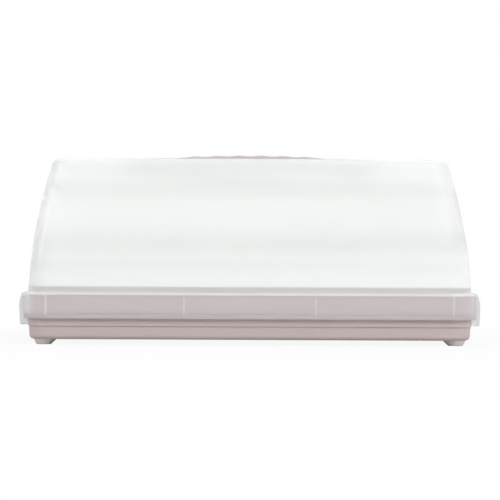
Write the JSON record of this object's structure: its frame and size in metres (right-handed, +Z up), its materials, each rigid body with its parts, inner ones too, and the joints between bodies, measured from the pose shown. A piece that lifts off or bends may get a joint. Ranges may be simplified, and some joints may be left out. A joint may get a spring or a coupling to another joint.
{
  "type": "cake carrier with hinged lid",
  "caption": "Rectangular cake carrier: shallow tray on soft feet, frosted arched lid hinged at the back, end latches and a folding carry handle in a well.",
  "frame": {"origin": "on the surface the carrier stands on, below the middle of its bounding box", "axes": "+X along the long side, +Y to the hinges at the back, +Z up"},
  "size_m": [0.45, 0.295, 0.1825],
  "materials": {
    "dusty_pink_polypropylene": "moulded satin",
    "frosted_polypropylene": "frosted, translucent",
    "soft_grey_tpe": "matt"
  },
  "bodies": {
    "tray": {"base_tray": "dusty_pink_polypropylene", "hinge_pin_left": "dusty_pink_polypropylene", "hinge_pin_right": "dusty_pink_polypropylene", "foot_front_left": "soft_grey_tpe", "foot_back_left": "soft_grey_tpe", "foot_front_right": "soft_grey_tpe", "foot_back_right": "soft_grey_tpe"},
    "lid": {"lid": "frosted_polypropylene"},
    "handle": {"carry_handle": "dusty_pink_polypropylene"},
    "left_latch": {"latch_left": "frosted_polypropylene"},
    "right_latch": {"latch_right": "frosted_polypropylene"}
  },
  "joints": [
    {"name": "lid_hinge", "type": "hinge", "parent": "tray", "child": "lid", "pos_m": [0, 0.143, 0.02], "axis": [-1, 0, 0], "range_deg": [0, 100]},
    {"name": "handle_swing", "type": "hinge", "parent": "lid", "child": "handle", "pos_m": [0, -0.0028, 0.1735], "axis": [-1, 0, 0], "range_deg": [0, 180]},
    {"name": "left_latch_hinge", "type": "hinge", "parent": "lid", "child": "left_latch", "pos_m": [-0.2197, -0.0028, 0.0453], "axis": [0, 1, 0], "range_deg": [0, 95]},
    {"name": "right_latch_hinge", "type": "hinge", "parent": "lid", "child": "right_latch", "pos_m": [0.2197, -0.0028, 0.0453], "axis": [0, -1, 0], "range_deg": [0, 95]}
  ]
}
